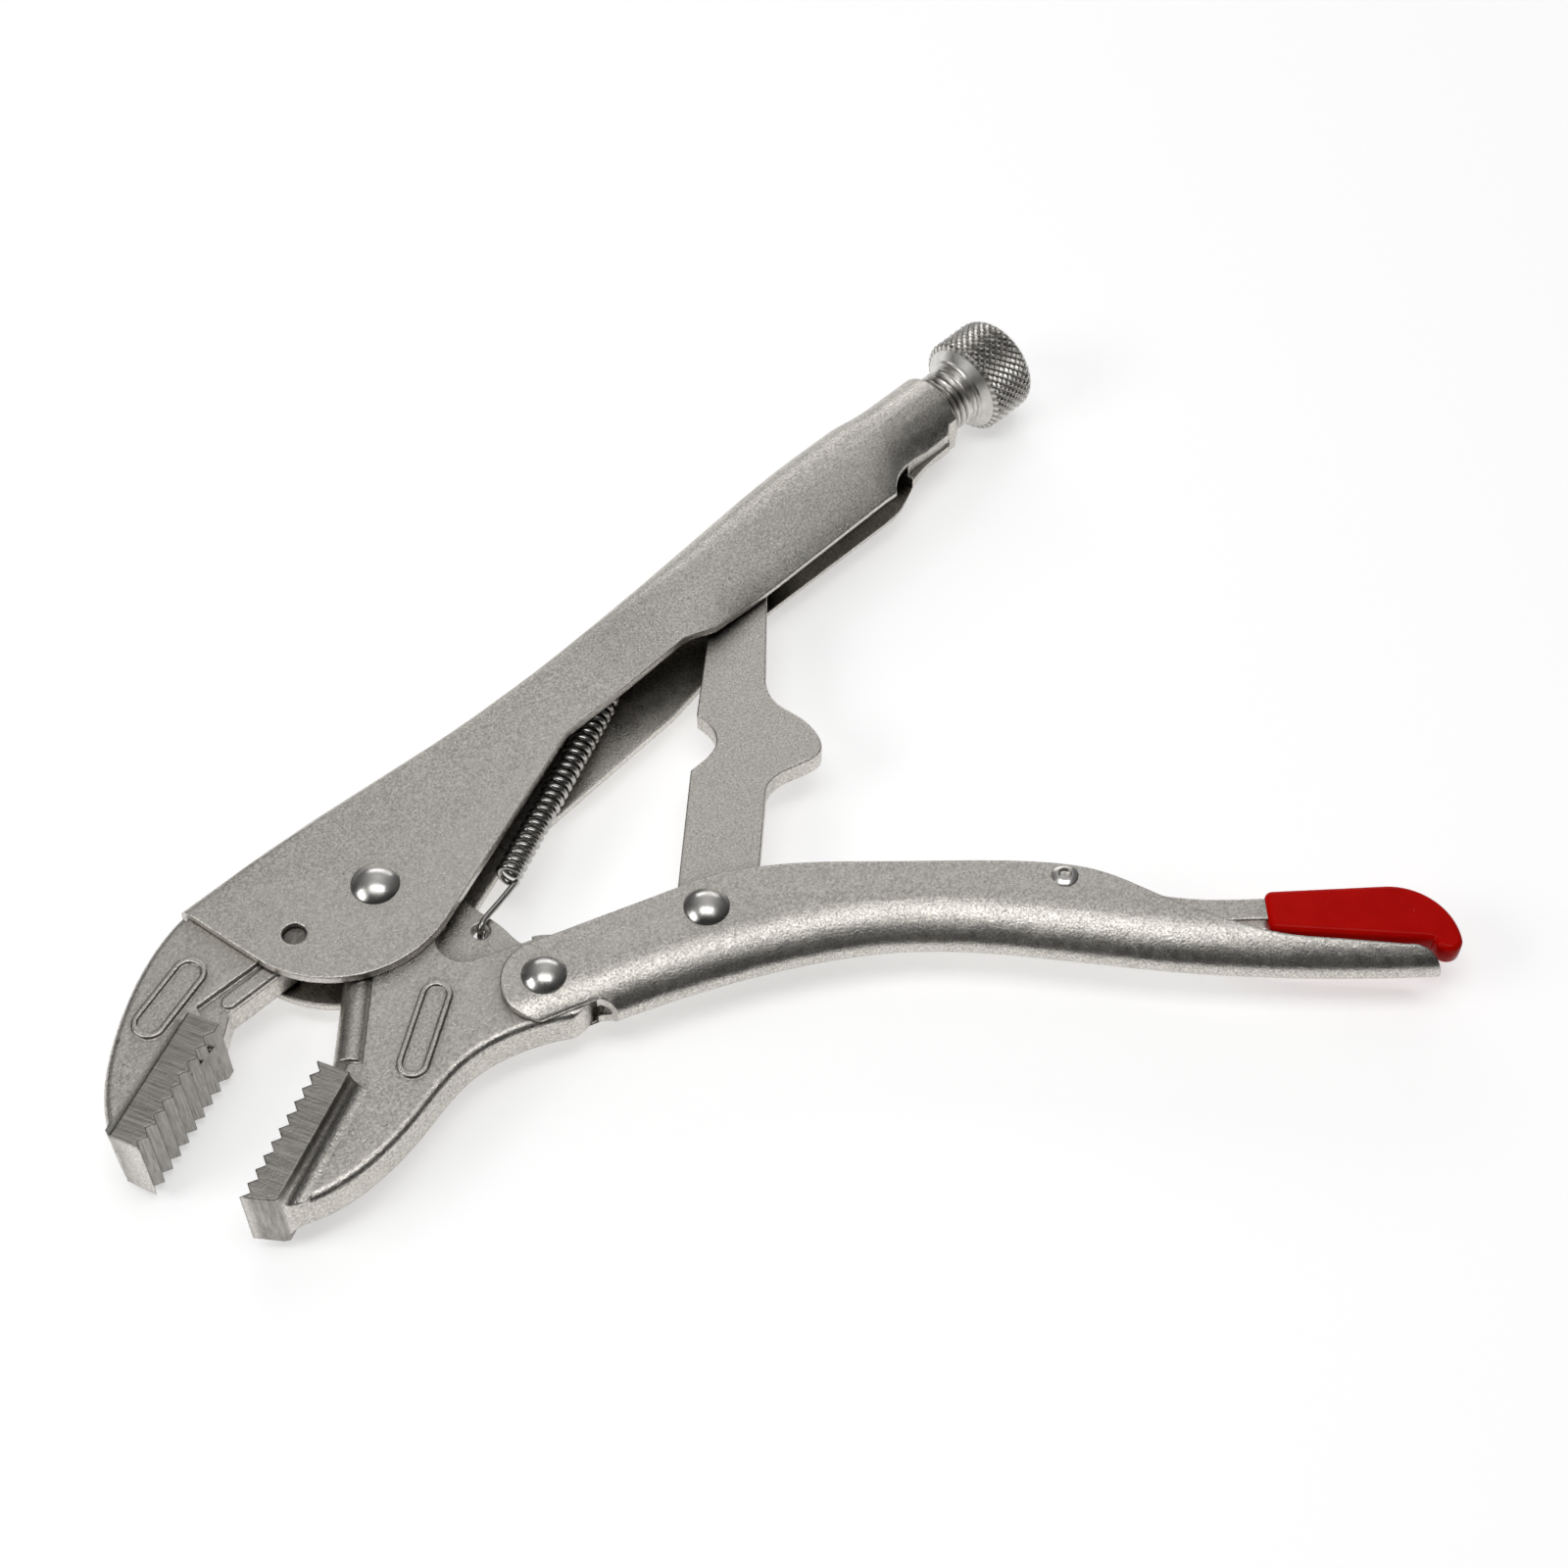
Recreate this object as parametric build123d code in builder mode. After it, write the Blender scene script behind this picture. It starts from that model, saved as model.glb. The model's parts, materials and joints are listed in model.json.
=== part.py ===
"""Locking pliers lying on their side, jaws open: millimetres, X along the adjusting screw, Z up."""
import os
from math import cos, pi, sin, sqrt

from build123d import *

os.makedirs("parts", exist_ok=True)

# Sheet, widths and fits, with halves measured from the mid plane
sheet = 1.7
running_fit = 0.05
channel_half = 5.4
gap_half = channel_half - sheet
web_half = 3.5
link_half = 2.2
bar_half = 1.6
coat_half, coat_round = 2.5, 1.0
ear_half = 1.3
upper_pad_half = 8.0
lower_pad_half = 7.4
through = 20.0
margin = 10.0

# Adjusting screw, measured along X from the jaw pivot; the tube of the fixed handle ends at tube_end
tube_end, screw_y = 158.6, 14.0
screw_tip, spindle_end = 107.6, 126.0
tip_length, shoulder_length, thread_lead, neck_step, knob_chamfer = 1.6, 1.8, 1.0, 0.4, 0.7
bare_thread, neck_length, collar_width, face_length = 5.4, 1.4, 0.8, 2.0
barrel_length, crown_length = 8.1, 2.2
tip_radius, spindle_radius, thread_radius, neck_radius = 3.6, 5.4, 6.4, 6.1
collar_radius, face_radius, knob_radius, crown_radius = 7.2, 9.0, 10.25, 9.3
thread_end = tube_end + bare_thread
neck_end = thread_end + neck_length
knob_start = neck_end + collar_width + face_length
barrel_end = knob_start + barrel_length
knob_end = barrel_end + crown_length

# Where the jaw pivot stands, so that the origin is under the middle of the assembly
jaw_back = (-65.0, -10.0)
pivot_x = -(jaw_back[0] + knob_end) / 2
pivot_y = 59.6
mid_height = knob_radius
MID = Plane((pivot_x, pivot_y, mid_height))

# Pivots of the linkage in plan, measured from the jaw pivot
jaw_pin_at = (-17.0, 1.8)
lever_pivot, lever_angle = (8.9, -35.3), -42.0
link_pivot, link_angle = (38.9, -44.9), 40.3
release_pivot = (92.9, 16.8)

# Rivets and the pin
jaw_shank, jaw_head, jaw_dome = 3.0, 4.5, 1.9
lever_shank, lever_head, lever_dome = 2.8, 4.1, 1.8
link_shank, link_head, link_dome = 2.8, 4.2, 1.8
release_shank, release_head, release_dome = 1.7, 2.5, 0.7
dimple_radius, dimple_depth = 1.2, 1.2
pin_radius, pin_recess = 2.2, 1.2

# Fixed handle: a channel in front, a round barrel behind the link and a tube for the screw
handle_front, handle_steps = -30.0, 36
tube_wall, tube_start, tube_lead, rim_round = 1.45, 140.0, 5.0, 1.1
tube_radius = thread_radius + running_fit + tube_wall
cavity_end, bore_lead = 143.0, 2.0
bulge_start, bulge_length = 58.0, 40.0
pinch_start, pinch_length = 133.0, 13.0
dip_start, dip_length = -16.0, 58.0
rise_start, rise_length = 48.0, 80.0
drop_start, drop_length = 136.0, 10.0
spine_top, spine_dip, spine_rise, spine_drop = 20.3, 3.0, 5.4, 1.2
channel_corner, barrel_corner = 2.4, 7.4
waist_height, waist_bulge, waist_pinch = 8.0, 5.0, 0.5
lip_height, lip_bulge, lip_pinch = -19.0, 17.0, 6.2
lip_bulge_in, lip_pinch_in, least_lip = 3.0, 1.0, 0.2
flat_belly, belly_bulge, belly_pinch = -0.01, 1.3, 0.2
front_top, front_foot, chin_mid, chin = (-28.2, 20.6), (-24.6, 1.0), (-14.6, -12.6), (4.0, -14.6)
near_edge = [(47.0, 1.3), (77.5, 2.1), (84.0, 0.0)]
far_edge = [(23.5, -7.4), (68.0, -4.4), (98.0, 1.0)]
near_seam = [(134.5, 0.8), (137.0, 3.0), (141.3, 4.5), (148.0, 5.0), (154.0, 5.1)]
seam_end = (155.4, 6.2)
far_seam = [(133.5, 1.0), (137.5, 1.6), (141.0, 2.9), (147.5, 4.3), (154.0, 4.6)]
tab_hole, tab_hole_radius = (65.5, 7.8), 1.2
tab_corners = [(-3.5, 9.0), (-2.0, -2.4), (2.0, -2.4), (4.5, 9.2)]

# Jaws
tooth_pitch, tooth_depth, tooth_lead = 2.75, 1.3, 0.5
pad_depth, flare = 6.1, 3.2
upper_nose, upper_slope, upper_length = (-62.8, -15.4), 22.7, 26.4
lower_tip, lower_slope, lower_length = (-56.2, -33.6), 23.8, 27.8
upper_waste = [(0.0, 0.0), (0.4, pad_depth), (3.2, 9.8), (3.2, 12.0), (-6.0, 12.0), (-6.0, 0.0)]
lower_waste = [(0.0, 0.0), (1.4, -5.2), (2.8, -7.2), (5.6, -9.8), (5.6, -12.0), (-6.0, -12.0), (-6.0, 0.0)]
upper_edge_round, lower_edge_round = 1.6, 1.7
boss_height, boss_rim, boss_recess = 0.7, 0.9, 0.45
upper_boss_at, upper_boss_turn, upper_boss_size = (-40.3, 7.5), 17.0, (11.5, 6.2)
lower_boss_at, lower_boss_turn, lower_boss_size = (-12.6, -28.4), 33.5, (14.0, 5.6)
ledge_corners, ledge_depth = [(-38.0, 3.0), (-20.0, 2.6), (-20.0, -8.0), (-40.5, -8.0)], 1.0
ridge_at, ridge_turn, ridge_length, ridge_width, ridge_height = (-28.4, 0.1), 0.0, 9.5, 2.6, 0.7
lug_radius, lug_turn, tongue_radius, tongue_turn = 11.0, 219.0, 13.0, 0.6
throat_end, throat_turn, throat_radius, throat_length = (-25.6, -23.8), 44.7, 3.3, 25.0
throat_groove = [(-1.0, -2.2), (21.0, -2.2), (21.0, 4.0), (-1.0, 4.0)]
groove_depth = 0.8
ear_hole, ear_hole_radius = (8.3, -18.6), 1.7

# Lever handle
wall_height, flank_radius, flank_turn = 34.0, 10.9, pi / 4
keel_radius = (channel_half - flank_radius * (1 - cos(flank_turn))) / cos(flank_turn)
flank_height = flank_radius * sin(flank_turn) + keel_radius * (1 - sin(flank_turn))
lug_sweep = 10.2

# Jaw spring
wire, coil_radius, coil_pitch, coil_turns = 1.0, 2.0, 1.75, 25
coil_start, spring_slope = (18.8, -12.8), 23.5
hook_reach, hook_end, hook_rise = 2.0, 2.6, 1.0


def spot(x, y, turn=0):
    """Plane on the mid plane at a point in plan, turned about Z."""
    return Plane(MID * Pos(x, y, 0) * Rot(0, 0, turn))


LEVER = spot(*lever_pivot, lever_angle)
LINK = spot(*link_pivot, link_angle)
UPPER = spot(*upper_nose, upper_slope)
LOWER = spot(*lower_tip, lower_slope)
SPRING = spot(*coil_start, spring_slope)


def across(place):
    """Plane whose X runs along the place's Y, and whose normal is the place's X."""
    return Plane(place.origin, x_dir=place.y_dir, z_dir=place.x_dir)


def upright(place):
    """Plane whose X runs along the place's X and whose Y is up."""
    return Plane(place.origin, x_dir=place.x_dir, z_dir=-place.y_dir)


def round_face(place, at, radius):
    """Round face for a hole or a boss."""
    with BuildSketch(place) as face:
        with Locations(at):
            Circle(radius)
    return face.sketch


def turned_rivet(seat, shank, head, dome):
    """Rivet across the channel with a domed head on each side."""
    with BuildPart() as rivet:
        with BuildSketch(upright(seat)) as profile:
            with BuildLine():
                Polyline((0, dome + channel_half), (0, 0), (shank, 0), (shank, channel_half))
                Line((shank, channel_half), (head, channel_half))
                TangentArc((0, dome + channel_half), (head, channel_half), tangent=(1, 0))
            make_face()
        revolve(profile.sketch, axis=Axis(seat.origin, seat.z_dir))
        mirror(about=MID)
    return rivet.part


def ease(x, start, length):
    """Smooth step from 0 at start to 1 after length."""
    share = min(max((x - start) / length, 0), 1)
    return share * share * (3 - 2 * share)


def channel_section(x, wall):
    """Section of the fixed handle at x, set in by wall: a channel that bulges and then pinches shut."""
    bulge = ease(x, bulge_start, bulge_length)
    pinch = ease(x, pinch_start, pinch_length)
    half = channel_half + (tube_radius - channel_half) * bulge - wall
    top = spine_top - spine_dip * ease(x, dip_start, dip_length) - wall
    top += spine_rise * ease(x, rise_start, rise_length) - spine_drop * ease(x, drop_start, drop_length)
    corner = channel_corner + (barrel_corner - channel_corner) * bulge - wall
    waist = waist_height + waist_bulge * bulge + waist_pinch * pinch
    lip_half = max(channel_half - lip_bulge_in * bulge - lip_pinch_in * pinch - wall, least_lip)
    lip = lip_height + lip_bulge * bulge + lip_pinch * pinch - wall
    belly = flat_belly + belly_bulge * bulge + belly_pinch * pinch
    between = ((waist + lip) / 2, (half + lip_half) / 2 + belly)
    with BuildSketch(across(spot(x, 0))) as section:
        with BuildLine():
            Line((top - corner, half), (waist, half))
            ThreePointArc((waist, half), between, (lip, lip_half))
            Line((lip, lip_half), (lip, -lip_half))
            ThreePointArc((lip, -lip_half), (between[0], -between[1]), (waist, -half))
            Line((waist, -half), (top - corner, -half))
            TangentArc((top - corner, -half), (top, corner - half), tangent=(1, 0))
            Line((top, corner - half), (top, half - corner))
            TangentArc((top, half - corner), (top - corner, half), tangent=(0, 1))
        make_face()
    return section.sketch


def pad_section(place, half, side):
    """Section of a tooth pad across its length, flared out of the web by a hollow curve."""
    back = side * pad_depth
    foot = side * (pad_depth + flare)
    with BuildSketch(across(place)) as section:
        with BuildLine():
            Polyline((foot, web_half), (foot, -web_half))
            TangentArc((foot, -web_half), (back, -half), tangent=(-side, 0))
            Polyline((back, -half), (0, -half), (0, half), (back, half))
            TangentArc((foot, web_half), (back, half), tangent=(-side, 0))
        make_face()
    return section.sketch


def tooth_grooves(place, length, side):
    """V grooves across a tooth pad, as one face in plan."""
    count = int(length / tooth_pitch)
    with BuildSketch(place) as grooves:
        with Locations(*[((index + 0.5) * tooth_pitch, 0) for index in range(count)]):
            Polygon(
                (-tooth_pitch / 2, -side * tooth_lead),
                (tooth_pitch / 2, -side * tooth_lead),
                (tooth_pitch / 2, 0),
                (0, side * tooth_depth),
                (-tooth_pitch / 2, 0),
                align=None,
            )
    return grooves.sketch


def plan_face(place, points):
    """Face with straight sides in plan."""
    with BuildSketch(place) as face:
        with BuildLine():
            Polyline(*points, close=True)
        make_face()
    return face.sketch


def toothed_pad(place, half, side, length, waste):
    """Tooth pad whose outer corner is trimmed to the jaw's outline."""
    with BuildPart() as pad:
        extrude(pad_section(place, half, side), amount=length)
        extrude(plan_face(place, waste), amount=through, both=True, mode=Mode.SUBTRACT)
        extrude(tooth_grooves(place, length, side), amount=through, both=True, mode=Mode.SUBTRACT)
    return pad.part


def obround(at, turn, length, width):
    """Slot-shaped face in plan."""
    with BuildSketch(spot(*at, turn)) as face:
        SlotCenterToCenter(length, width)
    return face.sketch


def keeled_face(plane, inset):
    """Section of the lever: upright walls that curve through tall flanks into a narrow keel."""
    half, radius = channel_half - inset, flank_radius - inset
    shoulder = (radius * (1 - cos(flank_turn)) - half, flank_height - radius * sin(flank_turn))
    with BuildSketch(plane) as section:
        with BuildLine():
            flank = TangentArc((-half, flank_height), shoulder, tangent=(0, -1))
            TangentArc(flank @ 1, (0, inset), tangent=flank % 1)
            Polyline(flank @ 0, (-half, wall_height), (0, wall_height))
            mirror(about=Plane.YZ)
        make_face()
    return section.sketch


def raised_boss(at, turn, length, width):
    """Obround boss through a jaw, with a raised rim round a bare panel on each side."""
    top = web_half + boss_height
    panel = obround(at, turn, length, width - 2 * boss_rim)
    with BuildPart() as boss:
        extrude(obround(at, turn, length, width), amount=top, both=True)
        for side in (1, -1):
            extrude(Pos(0, 0, side * top) * panel, amount=-side * boss_recess, mode=Mode.SUBTRACT)
    return boss.part


# Fixed handle
handle_step = (tube_end - rim_round - handle_front) / handle_steps
handle_stations = [handle_front + handle_step * index for index in range(handle_steps + 1)]
SCREW = upright(spot(0, screw_y))
SCREW_AXIS = Axis(SCREW.origin, SCREW.x_dir)
with BuildPart() as fixed_handle:
    loft(sections=[channel_section(x, 0) for x in handle_stations], ruled=True)
    cavity = [channel_section(x, sheet) for x in handle_stations if x < cavity_end]
    loft(sections=cavity, ruled=True, mode=Mode.SUBTRACT)
    with BuildSketch(SCREW) as tube:
        with BuildLine():
            lead_end = (tube_start + tube_lead, tube_radius)
            Polyline((tube_start, 0), (tube_start, tube_radius - tube_wall), lead_end)
            Line(lead_end, (tube_end - rim_round, tube_radius))
            rim = (tube_end, tube_radius - rim_round)
            TangentArc((tube_end - rim_round, tube_radius), rim, tangent=(1, 0))
            Polyline(rim, (tube_end, 0), (tube_start, 0))
        make_face()
    revolve(tube.sketch, axis=SCREW_AXIS)
    mouth = across(spot(tube_end, screw_y))
    bore = round_face(mouth, (0, 0), thread_radius + running_fit)
    extrude(bore, amount=spindle_end - bore_lead - tube_end, mode=Mode.SUBTRACT)
    left, right = handle_front - margin, tube_end + margin
    low, high = lip_height - margin, spine_top + margin
    for side, belly_edge, seam in ((1, near_edge, near_seam), (-1, far_edge, far_seam)):
        with BuildSketch(MID) as below:
            with BuildLine():
                Polyline((left, high), (front_top[0], high), front_top, front_foot)
                ThreePointArc(front_foot, chin_mid, chin)
                Polyline(chin, *belly_edge, seam[0])
                Spline(*seam)
                Polyline(seam[-1], seam_end, (right, seam_end[1]), (right, low), (left, low), (left, high))
            make_face()
        extrude(below.sketch, amount=side * through, mode=Mode.SUBTRACT)
    extrude(round_face(MID, (0, 0), jaw_shank), amount=through, both=True, mode=Mode.SUBTRACT)
    extrude(round_face(MID, jaw_pin_at, pin_radius), amount=through, both=True, mode=Mode.SUBTRACT)
    with BuildSketch(spot(*tab_hole)) as tab:
        Polygon(*tab_corners, align=None)
        Circle(tab_hole_radius, mode=Mode.SUBTRACT)
    extrude(tab.sketch, amount=sheet / 2, both=True)
fixed_handle.part.label = "fixed_handle"
export_step(fixed_handle.part, "parts/fixed_handle.step")

# Fixed jaw: web, tooth pad, and a ledge with a cutting ridge in the throat
with BuildPart() as fixed_jaw:
    with BuildSketch(MID) as web:
        with BuildLine():
            Polyline((-12.9, -1.8), (-34.6, -1.8), (-38.5, -5.0), (-62.0, -12.0), jaw_back)
            Spline(jaw_back, (-61.0, -1.2), (-49.4, 10.3), (-36.0, 17.9), (-31.4, 19.4))
            Polyline((-31.4, 19.4), (-28.5, 19.4), (-28.5, 18.4), (-3.4, 17.9), (-3.4, 12.6))
            tongue_mid = (-tongue_radius * cos(tongue_turn), tongue_radius * sin(tongue_turn))
            ThreePointArc((-3.4, 12.6), tongue_mid, (-12.9, -1.8))
        make_face()
    extrude(web.sketch, amount=web_half, both=True)
    fillet(fixed_jaw.edges().filter_by(GeomType.BSPLINE), radius=upper_edge_round)
    ledge = plan_face(MID, ledge_corners)
    for side in (1, -1):
        sunk = Pos(0, 0, side * (web_half - ledge_depth)) * ledge
        extrude(sunk, amount=side * ledge_depth, mode=Mode.SUBTRACT)
    ridge = obround(ridge_at, ridge_turn, ridge_length, ridge_width)
    extrude(ridge, amount=web_half - ledge_depth + ridge_height, both=True)
    add(toothed_pad(UPPER, upper_pad_half, 1, upper_length, upper_waste))
    add(raised_boss(upper_boss_at, upper_boss_turn, *upper_boss_size))
    extrude(round_face(MID, jaw_pin_at, pin_radius), amount=through, both=True, mode=Mode.SUBTRACT)
fixed_jaw.part.label = "fixed_jaw"
export_step(fixed_jaw.part, "parts/fixed_jaw.step")

# Staked pin that holds the fixed jaw in the handle
with BuildPart() as fixed_jaw_pin:
    extrude(round_face(MID, jaw_pin_at, pin_radius), amount=channel_half - pin_recess, both=True)
fixed_jaw_pin.part.label = "fixed_jaw_pin"
export_step(fixed_jaw_pin.part, "parts/fixed_jaw_pin.step")

with BuildPart() as jaw_pivot_rivet:
    add(turned_rivet(MID, jaw_shank, jaw_head, jaw_dome))
jaw_pivot_rivet.part.label = "jaw_pivot_rivet"
export_step(jaw_pivot_rivet.part, "parts/jaw_pivot_rivet.step")

# Movable jaw: web with two lugs, rounded throat bar, tooth pad and a thin ear for the spring
with BuildPart() as movable_jaw:
    with BuildSketch(MID) as web:
        with BuildLine():
            Polyline((-9.0, -7.0), (-26.0, -24.2), (-29.0, -25.5), (-51.5, -34.0), (-50.8, -39.0))
            Spline((-50.8, -39.0), (-37.5, -42.2), (-24.5, -40.8), (-11.0, -38.3), (0, -40.6), (7.0, -44.3))
            ThreePointArc((7.0, -44.3), (18.2, -35.3), (12.4, -26.6))
            Spline(
                (12.4, -26.6), (11.6, -21.0), (10.9, -15.7), (lug_radius, 0),
                tangents=((-1, 0.8), (0, 1)),
            )
            lug = CenterArc((0, 0), lug_radius, 0, lug_turn)
            Line(lug @ 1, (-9.0, -7.0))
        make_face()
    extrude(web.sketch, amount=web_half, both=True)
    outer_edges = movable_jaw.edges().filter_by(GeomType.BSPLINE)
    fillet(outer_edges.sort_by(Axis.X)[:2], radius=lower_edge_round)
    throat = spot(*throat_end, throat_turn)
    groove = plan_face(throat, throat_groove)
    for side in (1, -1):
        sunk = Pos(0, 0, side * (web_half - groove_depth)) * groove
        extrude(sunk, amount=side * through, mode=Mode.SUBTRACT)
    extrude(round_face(across(throat), (0, 0), throat_radius), amount=throat_length)
    add(toothed_pad(LOWER, lower_pad_half, -1, lower_length, lower_waste))
    with BuildSketch(MID) as pocket:
        with BuildLine():
            Polyline((18.0, -9.0), (7.0, -9.0), (4.3, -13.4))
            ThreePointArc((4.3, -13.4), (-0.4, -19.6), (3.8, -23.9))
            Polyline((3.8, -23.9), (13.0, -27.6), (18.0, -9.0))
        make_face()
    for side in (1, -1):
        extrude(Pos(0, 0, side * ear_half) * pocket.sketch, amount=side * through, mode=Mode.SUBTRACT)
    add(raised_boss(lower_boss_at, lower_boss_turn, *lower_boss_size))
    extrude(round_face(MID, (0, 0), jaw_shank + running_fit), amount=through, both=True, mode=Mode.SUBTRACT)
    lever_hole = round_face(LEVER, (0, 0), lever_shank + running_fit)
    extrude(lever_hole, amount=through, both=True, mode=Mode.SUBTRACT)
    extrude(round_face(MID, ear_hole, ear_hole_radius), amount=through, both=True, mode=Mode.SUBTRACT)
movable_jaw.part.label = "movable_jaw"
export_step(movable_jaw.part, "parts/movable_jaw.step")

# Lever handle: a channel swept along its spine and trimmed to its side outline
with BuildPart() as lever_handle:
    with BuildLine(LEVER) as spine:
        Spline(
            (-14, -18), (13, -6.2), (42, 2.8), (64, 5.7),
            (88, 3.4), (112, -0.6), (136, -2.9), (164, -3.3),
        )
    start = Plane(spine.line @ 0, x_dir=-MID.z_dir, z_dir=spine.line % 0)
    sweep(sections=keeled_face(start, 0) - keeled_face(start, sheet), path=spine.line)
    with BuildSketch(LEVER) as outline:
        with BuildLine():
            ThreePointArc((6.4, -5.8), (-6.6, -4.8), (-2.7, 6.5))
            Line((-2.7, 6.5), (26.5, 18.3))
            Spline(
                (26.5, 18.3), (38.0, 21.0), (64.0, 21.1), (88.5, 19.9),
                (98.5, 17.8), (112.0, 10.4), (125.0, 4.7), (152.0, 0.4),
                tangents=((2.5, 1), (1, -0.12)),
            )
            ThreePointArc((152.0, 0.4), (156.6, -1.4), (158.0, -5.0))
            Polyline((158.0, -5.0), (158.0, -12.0), (13.4, -12.0), (13.2, -7.6))
            ThreePointArc((13.2, -7.6), (11.9, -5.3), (9.6, -4.5))
            Line((9.6, -4.5), (6.4, -5.8))
        make_face()
    extrude(outline.sketch, amount=through, both=True, mode=Mode.INTERSECT)
    extrude(round_face(LEVER, (0, 0), lug_sweep), amount=gap_half, both=True, mode=Mode.SUBTRACT)
    extrude(round_face(LEVER, (0, 0), lever_shank), amount=through, both=True, mode=Mode.SUBTRACT)
    extrude(round_face(LINK, (0, 0), link_shank), amount=through, both=True, mode=Mode.SUBTRACT)
    extrude(round_face(LEVER, release_pivot, release_shank), amount=through, both=True, mode=Mode.SUBTRACT)
lever_handle.part.label = "lever_handle"
export_step(lever_handle.part, "parts/lever_handle.step")

with BuildPart() as lever_pivot_rivet:
    add(turned_rivet(LEVER, lever_shank, lever_head, lever_dome))
lever_pivot_rivet.part.label = "lever_pivot_rivet"
export_step(lever_pivot_rivet.part, "parts/lever_pivot_rivet.step")

with BuildPart() as link_pivot_rivet:
    add(turned_rivet(LINK, link_shank, link_head, link_dome))
link_pivot_rivet.part.label = "link_pivot_rivet"
export_step(link_pivot_rivet.part, "parts/link_pivot_rivet.step")

# Toggle link: flat plate with a notch, a release bump and a round nose at the screw
with BuildPart() as toggle_link:
    with BuildSketch(LINK) as plate:
        with BuildLine():
            ThreePointArc((0, 5.8), (-8.6, -1.3), (0, -8.6))
            Line((0, -8.6), (27.5, -7.9))
            Spline(
                (27.5, -7.9), (33.2, -10.7), (38.8, -17.2), (45.5, -13.3), (53.6, -5.4),
                tangents=((1, 0.1), (1, 0.25)),
            )
            Line((53.6, -5.4), (82.0, -3.0))
            ThreePointArc((82.0, -3.0), (88.0, 1.6), (82.4, 6.8))
            Line((82.4, 6.8), (44.8, 6.8))
            Spline((44.8, 6.8), (38.6, 2.5), (31.8, 6.5), tangents=((-0.6, -1), (-1, 0.9)))
            Line((31.8, 6.5), (0, 5.8))
        make_face()
    extrude(plate.sketch, amount=link_half, both=True)
    link_hole = round_face(LINK, (0, 0), link_shank + running_fit)
    extrude(link_hole, amount=through, both=True, mode=Mode.SUBTRACT)
toggle_link.part.label = "toggle_link"
export_step(toggle_link.part, "parts/toggle_link.step")

# Release lever, its dipped grip and its rivet
with BuildPart() as release_lever:
    with BuildSketch(LEVER) as bar:
        with BuildLine():
            Spline((92.9, 20.4), (101.0, 17.4), (112.0, 14.0), (128.0, 12.9), tangents=((1, -0.2), (1, 0)))
            Line((128.0, 12.9), (150.0, 12.2))
            ThreePointArc((150.0, 12.2), (157.6, 9.3), (160.9, 4.2))
            Line((160.9, 4.2), (159.4, 3.8))
            ThreePointArc((159.4, 3.8), (156.6, 7.6), (150.0, 8.8))
            Line((150.0, 8.8), (128.0, 8.4))
            Spline((128.0, 8.4), (108.0, 9.8), (92.9, 12.6), (84.0, 11.8), tangents=((-1, 0), (-1, -0.1)))
            ThreePointArc((84.0, 11.8), (80.2, 13.6), (83.6, 15.8))
            Spline((83.6, 15.8), (88.6, 17.4), (92.9, 20.4), tangents=((1, 0), (1, -0.2)))
        make_face()
    extrude(bar.sketch, amount=bar_half, both=True)
    release_hole = round_face(LEVER, release_pivot, release_shank + running_fit)
    extrude(release_hole, amount=through, both=True, mode=Mode.SUBTRACT)
release_lever.part.label = "release_lever"
export_step(release_lever.part, "parts/release_lever.step")

with BuildPart() as release_lever_grip:
    with BuildSketch(LEVER) as coat:
        with BuildLine():
            back = Line((128.7, 14.1), (150.5, 14.4))
            bend = TangentArc(back @ 1, (162.6, 2.6), tangent=back % 1)
            tip = TangentArc(bend @ 1, (157.4, 2.6), tangent=bend % 1)
            Polyline(tip @ 1, (128.7, 5.8), back @ 0)
        make_face()
    extrude(coat.sketch, amount=coat_half, both=True)
    fillet(release_lever_grip.edges().filter_by(Axis.Z, reverse=True), radius=coat_round)
    add(release_lever.part, mode=Mode.SUBTRACT)
release_lever_grip.part.label = "release_lever_grip"
export_step(release_lever_grip.part, "parts/release_lever_grip.step")

with BuildPart() as release_lever_rivet:
    seat = Plane(LEVER * Pos(*release_pivot, 0))
    add(turned_rivet(seat, release_shank, release_head, release_dome))
    for side in (1, -1):
        dimple = Plane(seat.origin + (0, 0, side * (channel_half + release_dome)))
        extrude(round_face(dimple, (0, 0), dimple_radius), amount=-side * dimple_depth, mode=Mode.SUBTRACT)
release_lever_rivet.part.label = "release_lever_rivet"
export_step(release_lever_rivet.part, "parts/release_lever_rivet.step")

# Adjusting screw with its knob
with BuildPart() as adjusting_screw:
    with BuildSketch(SCREW) as profile:
        with BuildLine():
            TangentArc((screw_tip, 0), (screw_tip + tip_length, tip_radius), tangent=(0, 1))
            Polyline(
                (screw_tip + tip_length, tip_radius),
                (screw_tip + tip_length + shoulder_length, spindle_radius),
                (spindle_end, spindle_radius),
                (spindle_end + thread_lead, thread_radius),
                (thread_end, thread_radius),
                (thread_end + neck_step, neck_radius),
                (neck_end, neck_radius),
                (neck_end, collar_radius),
                (neck_end + collar_width, collar_radius),
                (knob_start - knob_chamfer, face_radius),
                (knob_start, knob_radius),
                (barrel_end, knob_radius),
            )
            TangentArc((barrel_end, knob_radius), (knob_end, crown_radius), tangent=(1, 0))
            Polyline((knob_end, crown_radius), (knob_end, 0), (screw_tip, 0))
        make_face()
    revolve(profile.sketch, axis=SCREW_AXIS)
adjusting_screw.part.label = "adjusting_screw"
export_step(adjusting_screw.part, "parts/adjusting_screw.step")

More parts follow.
